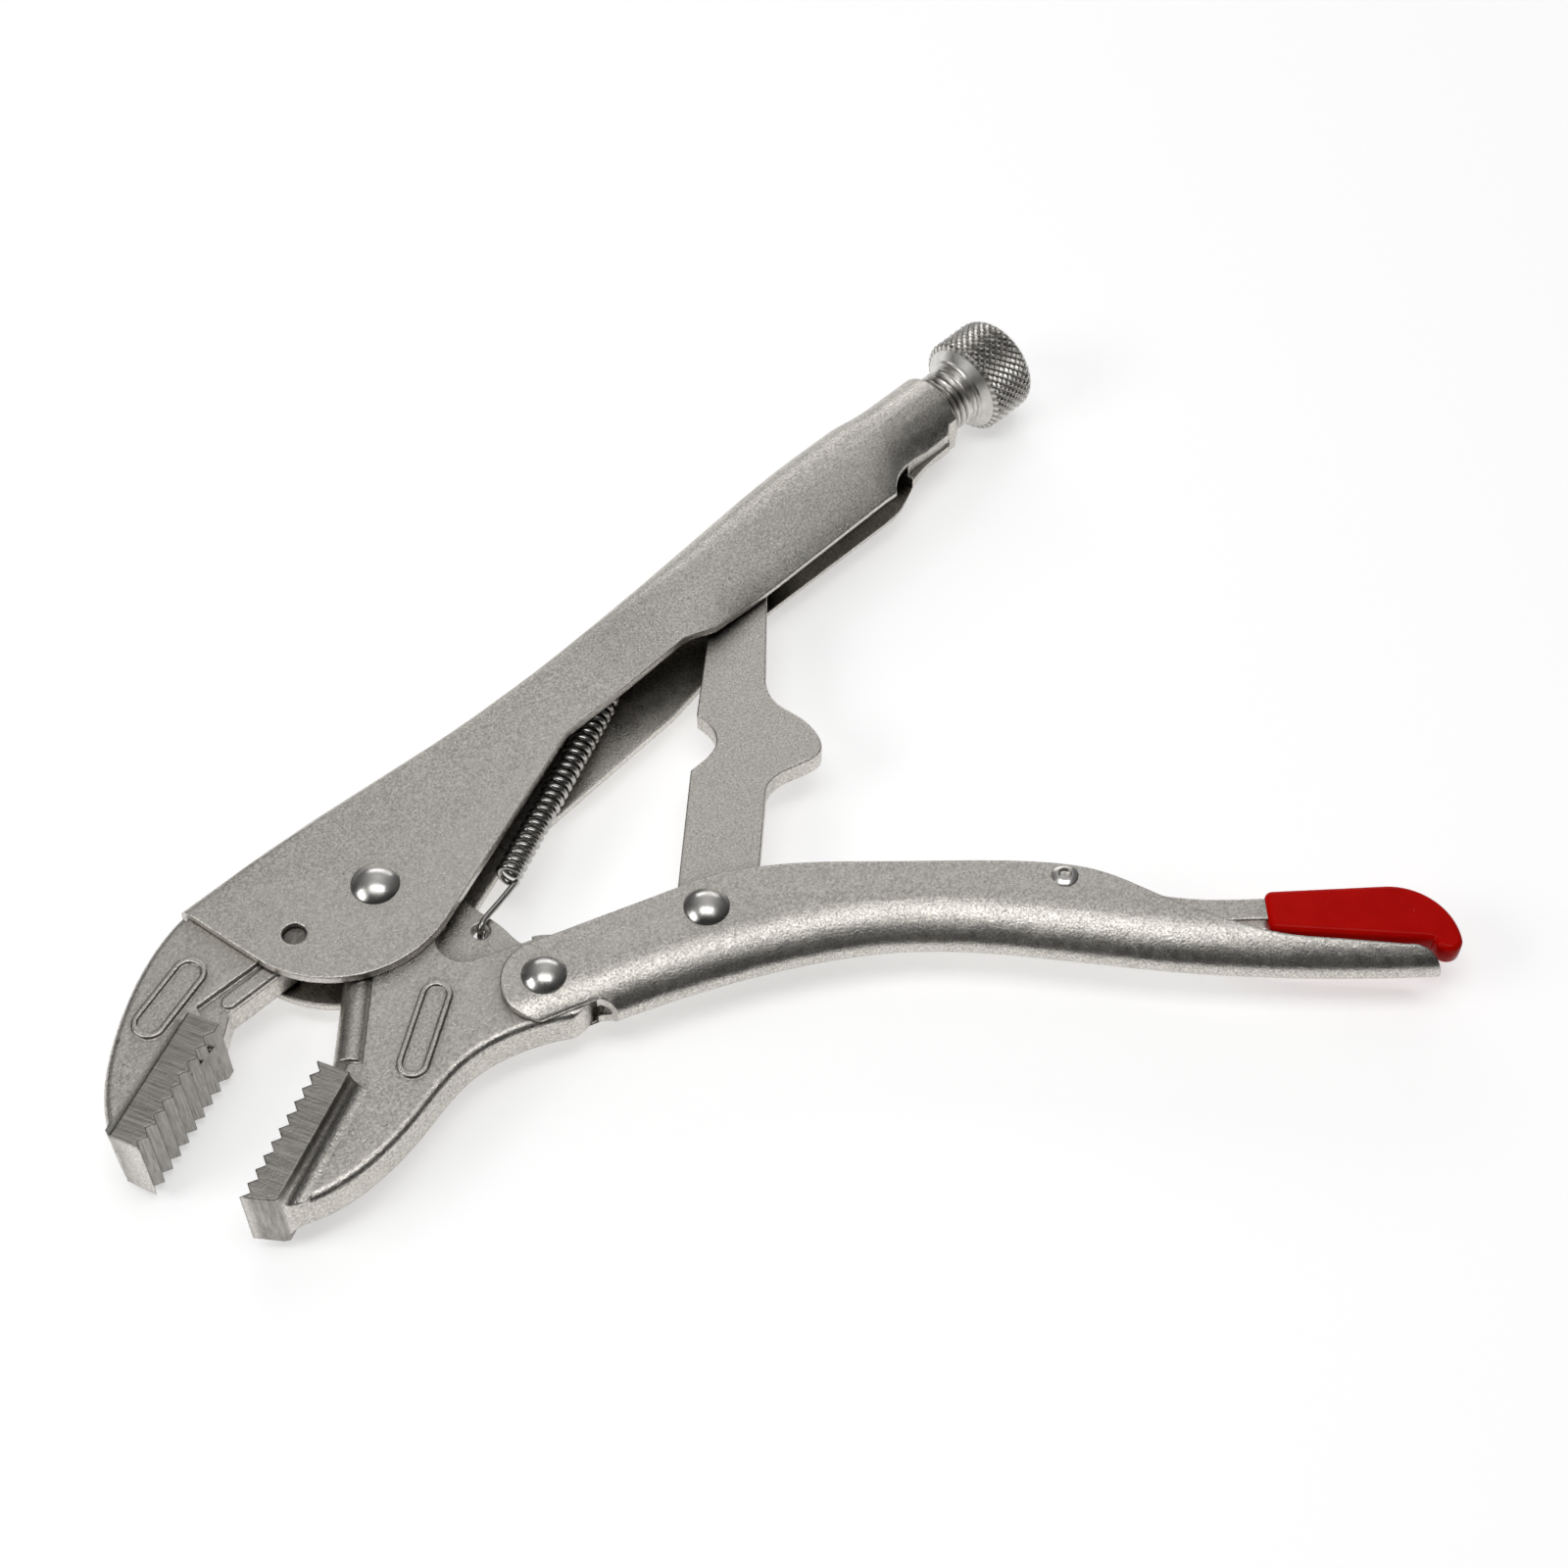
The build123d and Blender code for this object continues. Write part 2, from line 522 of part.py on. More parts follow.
# Jaw spring: a hook in the ear, a straight leg, the coils, a second leg and a hook in the handle's tab
ALONG, ASIDE, UP = SPRING.x_dir, SPRING.y_dir, SPRING.z_dir
ear_spot = MID.from_local_coords((*ear_hole, 0))
tab_spot = MID.from_local_coords((*tab_hole, 0))
leg = (SPRING.origin - ear_spot).normalized()


def coil_node(angle):
    """Point and direction of the helix after a turn of angle, in radians."""
    radial = ASIDE * cos(angle) + UP * sin(angle)
    point = SPRING.origin + ALONG * (coil_pitch * angle / (2 * pi)) + radial * coil_radius
    heading = ALONG * (coil_pitch / (2 * pi)) + (UP * cos(angle) - ASIDE * sin(angle)) * coil_radius
    return point, heading.normalized()


def biarc(start, end):
    """Two tangent arcs between two nodes, each a point with its direction."""
    (first, ahead), (last, onward) = start, end
    gap = last - first
    spread = ahead + onward
    square = 2 * (1 - ahead.dot(onward))
    reach = (sqrt(gap.dot(spread) ** 2 + square * gap.dot(gap)) - gap.dot(spread)) / square
    before = first + ahead * reach
    after = last - onward * reach
    middle = (before + after) * 0.5
    return [
        Edge.make_tangent_arc(first, ahead, middle),
        Edge.make_tangent_arc(middle, after - before, last),
    ]


ear_hook = [
    (ear_spot + leg * hook_end - UP * (ear_half + hook_rise + wire / 2), -leg),
    (ear_spot, UP),
    (ear_spot + leg * hook_reach + UP * (ear_half + hook_rise), leg),
]
half_turns = [coil_node(pi * index) for index in range(1, 2 * coil_turns + 2)]
coil_tail = half_turns[-1][0]
tab_leg = (tab_spot - coil_tail).normalized()
tab_hook = [
    (tab_spot - tab_leg * hook_reach + UP * (sheet / 2 + hook_rise), tab_leg),
    (tab_spot, -UP),
    (tab_spot - tab_leg * hook_end - UP * (sheet / 2 + hook_rise + wire / 2), -tab_leg),
]
with BuildPart() as jaw_spring:
    nodes = ear_hook + half_turns + tab_hook
    edges = []
    for start, end in zip(nodes, nodes[1:]):
        edges += biarc(start, end)
    route = Wire(edges)
    with BuildSketch(Plane(nodes[0][0], z_dir=nodes[0][1])) as wire_section:
        Circle(wire / 2)
    sweep(sections=wire_section.sketch, path=route)
jaw_spring.part.label = "jaw_spring"
export_step(jaw_spring.part, "parts/jaw_spring.step")

samples = [edge @ (step / 6) for edge in edges for step in range(6)]
apart = 12
least = min(
    (one - other).length for index, one in enumerate(samples) for other in samples[index + apart:]
)
print("jaw_spring: least gap to itself", round(least - wire, 2), "mm")
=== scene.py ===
"""Dresses the locking pliers in plated metal, with a turned screw, a wound spring and a dipped grip."""
import json
import math

import bmesh
import bpy
import numpy as np
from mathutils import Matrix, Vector


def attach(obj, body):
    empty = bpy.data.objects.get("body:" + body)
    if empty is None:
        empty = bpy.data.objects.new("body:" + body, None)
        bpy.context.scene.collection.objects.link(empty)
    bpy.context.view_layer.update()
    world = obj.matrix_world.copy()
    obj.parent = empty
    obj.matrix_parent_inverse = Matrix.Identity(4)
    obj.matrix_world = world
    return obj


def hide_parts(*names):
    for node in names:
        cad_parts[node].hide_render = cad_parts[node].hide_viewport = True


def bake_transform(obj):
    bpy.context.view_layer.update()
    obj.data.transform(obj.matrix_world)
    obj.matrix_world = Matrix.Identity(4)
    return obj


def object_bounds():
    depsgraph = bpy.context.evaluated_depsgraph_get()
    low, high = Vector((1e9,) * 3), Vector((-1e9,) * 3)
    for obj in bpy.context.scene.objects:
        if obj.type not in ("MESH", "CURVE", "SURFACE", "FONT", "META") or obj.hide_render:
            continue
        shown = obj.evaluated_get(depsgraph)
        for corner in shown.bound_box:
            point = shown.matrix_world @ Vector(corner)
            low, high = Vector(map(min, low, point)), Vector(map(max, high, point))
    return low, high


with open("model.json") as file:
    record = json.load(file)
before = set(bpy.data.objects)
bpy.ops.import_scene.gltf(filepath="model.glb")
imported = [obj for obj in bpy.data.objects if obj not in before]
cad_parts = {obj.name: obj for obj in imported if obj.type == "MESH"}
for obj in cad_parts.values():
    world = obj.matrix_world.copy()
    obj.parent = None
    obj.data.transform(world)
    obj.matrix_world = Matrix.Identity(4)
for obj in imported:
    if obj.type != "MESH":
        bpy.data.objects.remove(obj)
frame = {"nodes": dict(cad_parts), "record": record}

cad_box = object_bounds()
MM = 0.001

# Jaw pivot in the row frame; the places below are millimetres in plan from it, as in the part's source
JOINTS = {joint["name"]: joint for joint in frame["record"]["behaviour"]["joints"]}
PIVOT = Vector(JOINTS["jaw_hinge"]["pos_m"])
LEVER_PIVOT, LEVER_ANGLE = (8.9, -35.3), math.radians(-42.0)

# Ground tooth pads: where each starts, which way it goes deeper, and how the grinding fades at its borders
UPPER_NOSE, UPPER_SLOPE, UPPER_LENGTH = (-62.8, -15.4), math.radians(22.7), 26.4
LOWER_TIP, LOWER_SLOPE, LOWER_LENGTH = (-56.2, -33.6), math.radians(23.8), 27.8
UPWARD, DOWNWARD = 1.0, -1.0
PAD_DEPTH, PAD_FADE = 6.1, 0.4
PAD_OVER, PAD_ONSET = (-1.0, -0.5), (0.1, 0.5)

# Adjusting screw: stations along its axis, radii, and the small steps between them
SCREW_Y = 14.0
SCREW_TIP, SPINDLE_END, THREAD_START, THREAD_END, NECK_END = 107.6, 126.0, 150.0, 164.0, 165.4
KNOB_START, BARREL_END, KNOB_END = 168.2, 176.3, 178.5
TIP_RADIUS, SPINDLE_RADIUS, THREAD_RADIUS, THREAD_ROOT, NECK_RADIUS = 3.6, 5.4, 6.4, 5.6, 6.1
COLLAR_RADIUS, FACE_RADIUS, KNOB_RADIUS, CROWN_RADIUS = 7.2, 9.0, 10.25, 9.3
CENTRE_RADIUS, NOSE_RADIUS, DISH_RADIUS = 0.6, 2.0, 6.0
NOSE_LENGTH, TIP_LENGTH, TIP_CONE, SPINDLE_FLARE = 0.35, 1.6, 3.4, 1.0
NECK_LEAD, NECK_RELIEF, COLLAR_WIDTH = 0.3, 0.25, 0.8
CHAMFER, FACE_STEP, FACE_LIP = 0.2, 0.1, 0.15
CROWN_EDGE, CROWN_RIM, DISH_DEPTH = 0.1, 0.8, 0.4
THREAD_PITCH, THREAD_STEP, THREAD_FADE, THREAD_BLANK = 1.55, 0.15, 0.9, 0.2
THREAD_STEEPNESS, THREAD_CREST = 1.25, 0.12
KNURLS_AROUND, POINTS_PER_KNURL, KNURL_DEPTH, KNURL_TIP = 38, 10, 0.5, 0.1
KNURL_STEP, KNOB_CHAMFER, FACE_LEAD, KNURL_LEAD = 0.16, 0.7, 0.8, 0.6
AROUND = POINTS_PER_KNURL * KNURLS_AROUND
SCREW_CREASE = math.radians(38)

# Jaw spring, with a wire a little thicker than the solid's
WIRE, COIL_RADIUS, COIL_PITCH, COIL_TURNS = 1.2, 2.0, 1.75, 25
COIL_START, SPRING_SLOPE = (18.8, -12.8), math.radians(23.5)
EAR_HOLE, EAR_HALF = (8.3, -18.6), 1.3
TAB_HOLE, TAB_HALF = (65.5, 7.8), 0.85
HOOK_REACH, HOOK_END, HOOK_RISE = 2.0, 2.6, 1.0
EAR_TURN, EAR_BACK, EAR_SIDE, TAB_TURN = 0.4, 0.5, 0.6, 0.3
LEG_SHARE, LEG_RISE = 0.55, 1.3
POINTS_PER_TURN = 16

# Dipped grip, in the lever's own axes
GRIP_HALF, GRIP_ROUND, GRIP_ROUND_STEPS = 2.5, 1.2, 6
GRIP_COLLAR, GRIP_BACK, GRIP_NOSE = (128.7, 14.1), (150.5, 14.4), (162.6, 2.6)
GRIP_HEEL, GRIP_FOOT = (157.4, 2.6), (128.7, 5.8)
GRIP_CORNER, CORNER_STEPS, BEND_STEPS, TIP_STEPS = 1.5, 8, 26, 16
BACK_SHARES, BELLY_SHARES = np.linspace(0.08, 1, 12), np.linspace(0.06, 0.94, 14)
COLLAR_SHARES = np.linspace(0.2, 0.8, 4)
GRIP_CREASE = math.radians(60)

# Rounded edges on the CAD nodes, in millimetres
SHEET_EDGES = {"fixed_handle": 0.35, "lever_handle": 0.4, "toggle_link": 0.3, "release_lever": 0.3}
JAW_EDGE, PIN_EDGE, RIVET_EDGE = 0.3, 0.2, 0.12
RIVETS = ("jaw_pivot_rivet", "lever_pivot_rivet", "link_pivot_rivet", "release_lever_rivet")
WELD_REACH, EDGE_SEGMENTS, FACE_WEIGHT = 0.002, 3, 100
FLAT_ANGLE, EDGE_ANGLE = math.radians(0.6), math.radians(32.0)
SHADED_EDGE, SHADED_EDGE_SAMPLES = 0.6, 8

# Bands of noise over which a look changes
WIDE_BAND, MIDDLE_BAND = (0.3, 0.7), (0.35, 0.65)
SPARKLE_BAND, SPECK_BAND, STAIN_BAND = (0.5, 0.66), (0.34, 0.5), (0.7, 0.76)
SMEAR_BAND, DUST_BAND = (0.35, 0.7), (0.7, 0.78)

# Warm greys: usual warmth, and what it takes from green and blue
WARMTH, GREEN_LOSS, BLUE_LOSS = 0.075, 0.6, 1.5

# Satin plate: noise scales per metre, tones as shares of the plate's own, and strengths
PATCH_SCALE_SHARE, DRIFT_SCALE, STAIN_SCALE = 0.22, 28.0, 900.0
DRIFT_TONES, SPARKLE_TONE, SPECK_TONE = (0.95, 1.04), 1.5, 0.55
# The tones and strengths below include those of the painted shade in corners, beside the real stains and
# rubbed edges
STAIN_TONE, PAINTED_SHADE_TONE, EDGE_TONE = 0.3, 0.25, 1.3
SPARKLE, STAIN, PAINTED_SHADE, RUB, RUB_POLISH = 0.8, 0.7, 0.75, 0.3, 0.16
# Painted shade in corners: its reach in millimetres, samples, band of openness, and warmth
PAINTED_SHADE_REACH, PAINTED_SHADE_SAMPLES, PAINTED_SHADE_BAND, PAINTED_SHADE_WARMTH = 4.5, 16, (0.4, 1.0), 0.12
RUB_BAND = (0.505, 0.56)
PATCH_ROUGH, PIT_ROUGH, PATCH_HEIGHT, GRAIN_DEPTH = 0.05, 0.06, 0.3, 0.15

# Ground pads of the jaws
JAW_TONE = 0.57
GRIND_STRETCH, GRIND_SCALE = (1.0, 0.035, 0.05), 4200.0
GRIND_TONES, GRIND_ROUGH = (0.38, 0.78), (0.26, 0.42)
GRIND_BUMP, GRIND_DEPTH = 0.5, 0.08

# Bright plate
SMEAR_SCALE, TURNING_SCALE, SMEAR_TONE = 420.0, 2600.0, 0.86
CLEAN_WARMTH, SMEAR_WARMTH, HOLLOW_WARMTH = 0.03, 0.06, 0.1
HOLLOW_BAND, HOLLOW_SMEAR, HOLLOW_TONE = (0.35, 1.05), 0.25, 0.35
BRIGHT_ROUGH, TURNING_BUMP, TURNING_DEPTH = (0.75, 1.35), 0.12, 0.06

# Red vinyl
FLOW_SCALE, SKIN_SCALE, DUST_SCALE = 180.0, 900.0, 1500.0
DEEP_RED, BRIGHT_RED = (0.57, 0.002, 0.001, 1.0), (0.66, 0.005, 0.002, 1.0)
DUST_COLOUR = (0.5, 0.12, 0.1, 1.0)
DUST, VINYL_ROUGH, VINYL_SPECULAR = 0.4, (0.1, 0.2), 0.06
FLOW_HEIGHT, SKIN_HEIGHT, VINYL_BUMP, VINYL_DEPTH = 1.6, 0.25, 0.16, 0.3

# Studio: lamps as name, place from the part's middle and size in metres, and watts
LAMPS = (
    ("key", (-0.06, -0.06, 1.1), (0.9, 0.42), 3.6),
    ("edge", (0.62, 0.65, 0.36), (0.9, 0.25), 1.2),
    ("rim", (-0.62, 0.30, 0.50), (0.40, 0.30), 1.4),
)
WHITE = (1.0, 1.0, 1.0, 1.0)
FLOOR_REACH, FLOOR_COLOUR, FLOOR_ROUGH, FLOOR_GLOW = 4.0, (0.92, 0.92, 0.92, 1.0), 0.9, 0.48
SKY_HEADING, SKY_BAND = (0.42, 0.42, 0.8), (-0.2, 1.0)
SKY_ENDS, SKY_BENDS = ((0.0, 0.05), (1.0, 0.92)), ((0.6, 0.08), (0.86, 0.25))

# Camera fitted to the photograph
VIEW_AIM = (70.2, -32.6)
VIEW_DISTANCE = 509.2
VIEW_AZIMUTH, VIEW_ELEVATION = math.radians(45.53), math.radians(54.0)
FOCAL_PIXELS, PHOTO_PIXELS, SENSOR = 2800.0, 1600.0, 36.0
NEAREST_SEEN = 0.01


def place(x, y, z=0.0):
    """Point in the row frame, in metres, from plan millimetres and a height over the mid plane."""
    return PIVOT + Vector((x, y, z)) * MM


def lever_place(x, y, z=0.0):
    """The same from the lever's own axes."""
    c, s = math.cos(LEVER_ANGLE), math.sin(LEVER_ANGLE)
    return place(LEVER_PIVOT[0] + c * x - s * y, LEVER_PIVOT[1] + s * x + c * y, z)


def put_in_scene(piece):
    """Puts an object into the scene."""
    bpy.context.scene.collection.objects.link(piece)


def mesh_piece(name, verts, faces, body, material):
    """New smooth mesh piece that rides on a body."""
    mesh = bpy.data.meshes.new(name)
    mesh.from_pydata([tuple(v) for v in verts], [], faces)
    mesh.validate()
    bm = bmesh.new()
    bm.from_mesh(mesh)
    bmesh.ops.recalc_face_normals(bm, faces=bm.faces)
    bm.to_mesh(mesh)
    bm.free()
    mesh.shade_smooth()
    piece = bpy.data.objects.new(name, mesh)
    put_in_scene(piece)
    mesh.materials.append(material)
    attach(piece, body)
    return piece


def ring_faces(rings, around):
    """Faces of a closed skin over rings of points, with a cap at each end."""
    faces = []
    for ring in range(rings - 1):
        for step in range(around):
            one, two = ring * around + step, ring * around + (step + 1) % around
            faces.append((one, two, two + around, one + around))
    return faces + [tuple(range(around)), tuple(range((rings - 1) * around, rings * around))]


def add(tree, kind, inputs=None, **settings):
    """Adds a node, sets its options, and joins or sets its inputs."""
    made = tree.nodes.new(kind)
    for key, value in settings.items():
        setattr(made, key, value)
    for key, value in (inputs or {}).items():
        if isinstance(value, bpy.types.NodeSocket):
            tree.links.new(value, made.inputs[key])
        else:
            made.inputs[key].default_value = value
    return made


def noise(tree, vector, scale, detail=3.0, roughness=0.55):
    """Noise value in 0 to 1."""
    return add(tree, "ShaderNodeTexNoise", {
        "Vector": vector, "Scale": scale, "Detail": detail, "Roughness": roughness,
    }).outputs["Fac"]


def remap(tree, value, band, to=(0.0, 1.0)):
    """Clamped straight-line change from one range to another."""
    return add(tree, "ShaderNodeMapRange", {
        "Value": value, "From Min": band[0], "From Max": band[1], "To Min": to[0], "To Max": to[1],
    }).outputs["Result"]


def math_node(tree, operation, first, second):
    """One arithmetic step."""
    return add(tree, "ShaderNodeMath", {0: first, 1: second}, operation=operation).outputs["Value"]


def mix(tree, share, first, second, kind="RGBA"):
    """Colour or number between two others; the node has a pair of sockets for each kind of data."""
    pair, result = {"FLOAT": (2, 0), "RGBA": (6, 2)}[kind]
    inputs = {0: share, pair: first, pair + 1: second}
    return add(tree, "ShaderNodeMix", inputs, data_type=kind).outputs[result]


def object_coords(tree):
    """Coordinates that stay with the object."""
    return add(tree, "ShaderNodeTexCoord").outputs["Object"]


def new_material(name):
    """Empty node material with its principled shader."""
    material = bpy.data.materials.new(name)
    material.use_nodes = True
    tree = material.node_tree
    tree.nodes.clear()
    shader = add(tree, "ShaderNodeBsdfPrincipled")
    add(tree, "ShaderNodeOutputMaterial", {"Surface": shader.outputs["BSDF"]})
    return material, tree, shader


def raise_grain(tree, shader, strength, depth, height, under=None):
    """Bump of a depth in millimetres on the shader, over another normal where one is given."""
    inputs = {"Strength": strength, "Distance": depth * MM, "Height": height}
    if under:
        inputs["Normal"] = under
    tree.links.new(add(tree, "ShaderNodeBump", inputs).outputs["Normal"], shader.inputs["Normal"])


def grey(value, warmth=WARMTH):
    """Grey that leans to yellow by its warmth."""
    return (value, value * (1 - GREEN_LOSS * warmth), value * (1 - BLUE_LOSS * warmth), 1.0)


def plate_colour(tree, coords, pits, tone, speck):
    """Plate's colour with drifts, sparkle, specks, stains, and painted shade that darkens its corners."""
    drift = noise(tree, coords, DRIFT_SCALE, detail=2.0)
    dull, clear = (grey(tone * share) for share in DRIFT_TONES)
    clean = mix(tree, remap(tree, drift, MIDDLE_BAND), dull, clear)
    sparkle = remap(tree, pits, SPARKLE_BAND, (0.0, SPARKLE))
    lively = mix(tree, sparkle, clean, grey(tone * SPARKLE_TONE))
    dark = math_node(tree, "MULTIPLY", remap(tree, pits, SPECK_BAND, (1.0, 0.0)), speck)
    specked = mix(tree, dark, lively, grey(tone * SPECK_TONE))
    stain = remap(tree, noise(tree, coords, STAIN_SCALE, detail=2.0), STAIN_BAND, (0.0, STAIN))
    stained = mix(tree, stain, specked, grey(tone * STAIN_TONE))
    # Painted shade: the colour darkens where ambient occlusion finds other surfaces near, in corners,
    # between parts and over the floor
    reach = {"Distance": PAINTED_SHADE_REACH * MM}
    open_share = add(tree, "ShaderNodeAmbientOcclusion", reach, samples=PAINTED_SHADE_SAMPLES).outputs["AO"]
    painted_shade = remap(tree, open_share, PAINTED_SHADE_BAND, (PAINTED_SHADE, 0.0))
    return mix(tree, painted_shade, stained, grey(tone * PAINTED_SHADE_TONE, PAINTED_SHADE_WARMTH))


def satin_plate(name, tone, roughness, grain, speck, bump):
    """Pearl nickel plate: sparkling grain, soft drifts of tone, painted shade in the corners, and rubbed
    edges.
    """
    material, tree, shader = new_material(name)
    coords = object_coords(tree)
    pits = noise(tree, coords, grain, roughness=0.7)
    patch = noise(tree, coords, grain * PATCH_SCALE_SHARE)
    edge = add(tree, "ShaderNodeNewGeometry").outputs["Pointiness"]
    rubbed = remap(tree, edge, RUB_BAND, (0.0, RUB))
    colour = plate_colour(tree, coords, pits, tone, speck)
    tree.links.new(mix(tree, rubbed, colour, grey(tone * EDGE_TONE)), shader.inputs["Base Color"])
    broad = remap(tree, patch, WIDE_BAND, (roughness - PATCH_ROUGH, roughness + PATCH_ROUGH))
    rough = math_node(tree, "ADD", broad, remap(tree, pits, WIDE_BAND, (PIT_ROUGH, -PIT_ROUGH)))
    worn = math_node(tree, "SUBTRACT", rough, math_node(tree, "MULTIPLY", rubbed, RUB_POLISH))
    tree.links.new(worn, shader.inputs["Roughness"])
    rolled = add(tree, "ShaderNodeBevel", {"Radius": SHADED_EDGE * MM}, samples=SHADED_EDGE_SAMPLES)
    height = math_node(tree, "ADD", pits, math_node(tree, "MULTIPLY", patch, PATCH_HEIGHT))
    raise_grain(tree, shader, bump, GRAIN_DEPTH, height, rolled.outputs["Normal"])
    shader.inputs["Metallic"].default_value = 1.0
    return material, tree, shader, coords


def pad_zone(tree, coords, start, slope, length, side):
    """Share of 1 on a ground tooth pad, and the pad's own coordinates."""
    own = add(tree, "ShaderNodeMapping", {
        "Vector": coords, "Location": place(*start), "Rotation": (0.0, 0.0, slope),
    }, vector_type="TEXTURE").outputs["Vector"]
    split = add(tree, "ShaderNodeSeparateXYZ", {"Vector": own})
    depth = math_node(tree, "MULTIPLY", split.outputs["Y"], side)
    fade = PAD_FADE * MM
    below = remap(tree, depth, (PAD_DEPTH * MM, PAD_DEPTH * MM + fade), (1.0, 0.0))
    above = remap(tree, depth, [edge * MM for edge in PAD_OVER])
    first = remap(tree, split.outputs["X"], [edge * MM for edge in PAD_ONSET])
    last = remap(tree, split.outputs["X"], (length * MM, length * MM + fade), (1.0, 0.0))
    inside = math_node(tree, "MULTIPLY", below, above)
    along = math_node(tree, "MULTIPLY", first, last)
    return math_node(tree, "MULTIPLY", inside, along), own


def ground_jaw(name, start, slope, length, side):
    """Forged jaw: the satin plate, with bright grinding lines on the tooth pad."""
    material, tree, shader, coords = satin_plate(
        name, tone=JAW_TONE, roughness=0.34, grain=2000.0, speck=0.85, bump=0.6)
    zone, own = pad_zone(tree, coords, start, slope, length, side)
    stretched = add(tree, "ShaderNodeMapping", {"Vector": own, "Scale": GRIND_STRETCH}).outputs["Vector"]
    lines = noise(tree, stretched, GRIND_SCALE, detail=4.0, roughness=0.7)
    colour, rough, relief = (
        shader.inputs[socket].links[0].from_socket for socket in ("Base Color", "Roughness", "Normal"))
    dull, clear = (grey(JAW_TONE * share) for share in GRIND_TONES)
    ground = mix(tree, remap(tree, lines, MIDDLE_BAND), dull, clear)
    tree.links.new(mix(tree, zone, colour, ground), shader.inputs["Base Color"])
    ground_rough = remap(tree, lines, WIDE_BAND, GRIND_ROUGH)
    tree.links.new(mix(tree, zone, rough, ground_rough, "FLOAT"), shader.inputs["Roughness"])
    raise_grain(tree, shader, GRIND_BUMP, GRIND_DEPTH, math_node(tree, "MULTIPLY", lines, zone), relief)
    return material


def bright_plate(name, tone, roughness, hollows=None):
    """Bright nickel with faint turning marks, and a darker tone where an attribute of that name gives a
    depth.
    """
    material, tree, shader = new_material(name)
    coords = object_coords(tree)
    smear = noise(tree, coords, SMEAR_SCALE, detail=4.0)
    clean, smeared = grey(tone, CLEAN_WARMTH), grey(tone * SMEAR_TONE, SMEAR_WARMTH)
    colour = mix(tree, remap(tree, smear, SMEAR_BAND), clean, smeared)
    # Darker down in the grooves, by the depth that the attribute gives
    if hollows:
        depth = add(tree, "ShaderNodeAttribute", attribute_name=hollows).outputs["Fac"]
        uneven = math_node(tree, "ADD", depth, math_node(tree, "MULTIPLY", smear, HOLLOW_SMEAR))
        darker_in_grooves = remap(tree, uneven, HOLLOW_BAND)
        colour = mix(tree, darker_in_grooves, colour, grey(tone * HOLLOW_TONE, HOLLOW_WARMTH))
    tree.links.new(colour, shader.inputs["Base Color"])
    rough = remap(tree, smear, WIDE_BAND, [roughness * share for share in BRIGHT_ROUGH])
    tree.links.new(rough, shader.inputs["Roughness"])
    raise_grain(tree, shader, TURNING_BUMP, TURNING_DEPTH, noise(tree, coords, TURNING_SCALE))
    shader.inputs["Metallic"].default_value = 1.0
    return material


def dipped_vinyl(name):
    """Glossy red vinyl with an uneven skin and a few specks of dust."""
    material, tree, shader = new_material(name)
    coords = object_coords(tree)
    flow = noise(tree, coords, FLOW_SCALE)
    skin = noise(tree, coords, SKIN_SCALE)
    specks = remap(tree, noise(tree, coords, DUST_SCALE, detail=2.0), DUST_BAND)
    dust = math_node(tree, "MULTIPLY", specks, DUST)
    red = mix(tree, remap(tree, flow, WIDE_BAND), DEEP_RED, BRIGHT_RED)
    tree.links.new(mix(tree, dust, red, DUST_COLOUR), shader.inputs["Base Color"])
    tree.links.new(remap(tree, skin, WIDE_BAND, VINYL_ROUGH), shader.inputs["Roughness"])
    shader.inputs["Specular IOR Level"].default_value = VINYL_SPECULAR
    waves = math_node(tree, "MULTIPLY", flow, FLOW_HEIGHT)
    height = math_node(tree, "ADD", waves, math_node(tree, "MULTIPLY", skin, SKIN_HEIGHT))
    raise_grain(tree, shader, VINYL_BUMP, VINYL_DEPTH, height)
    return material


def soften(node, width):
    """Rounds a CAD node's edges for the light by modifiers, leaving its own mesh as it is."""
    piece = frame["nodes"][node]
    weld = piece.modifiers.new("join", "WELD")
    weld.merge_threshold = WELD_REACH * MM
    merge = piece.modifiers.new("flats", "DECIMATE")
    merge.decimate_type = "DISSOLVE"
    merge.angle_limit = FLAT_ANGLE
    bevel = piece.modifiers.new("edges", "BEVEL")
    bevel.width = width * MM
    bevel.segments = EDGE_SEGMENTS
    bevel.limit_method = "ANGLE"
    bevel.angle_limit = EDGE_ANGLE
    bevel.use_clamp_overlap = True
    flats = piece.modifiers.new("true_flats", "WEIGHTED_NORMAL")
    flats.weight = FACE_WEIGHT
    flats.keep_sharp = False


def finish_node(node, material, width):
    """Gives a CAD node its material and rounded edges."""
    slots = frame["nodes"][node].data.materials
    slots.clear()
    slots.append(material)
    soften(node, width)


def triangle(turns):
    """Distance to the nearest whole number, from 0 to 1."""
    return 2 * np.abs(turns - np.round(turns))


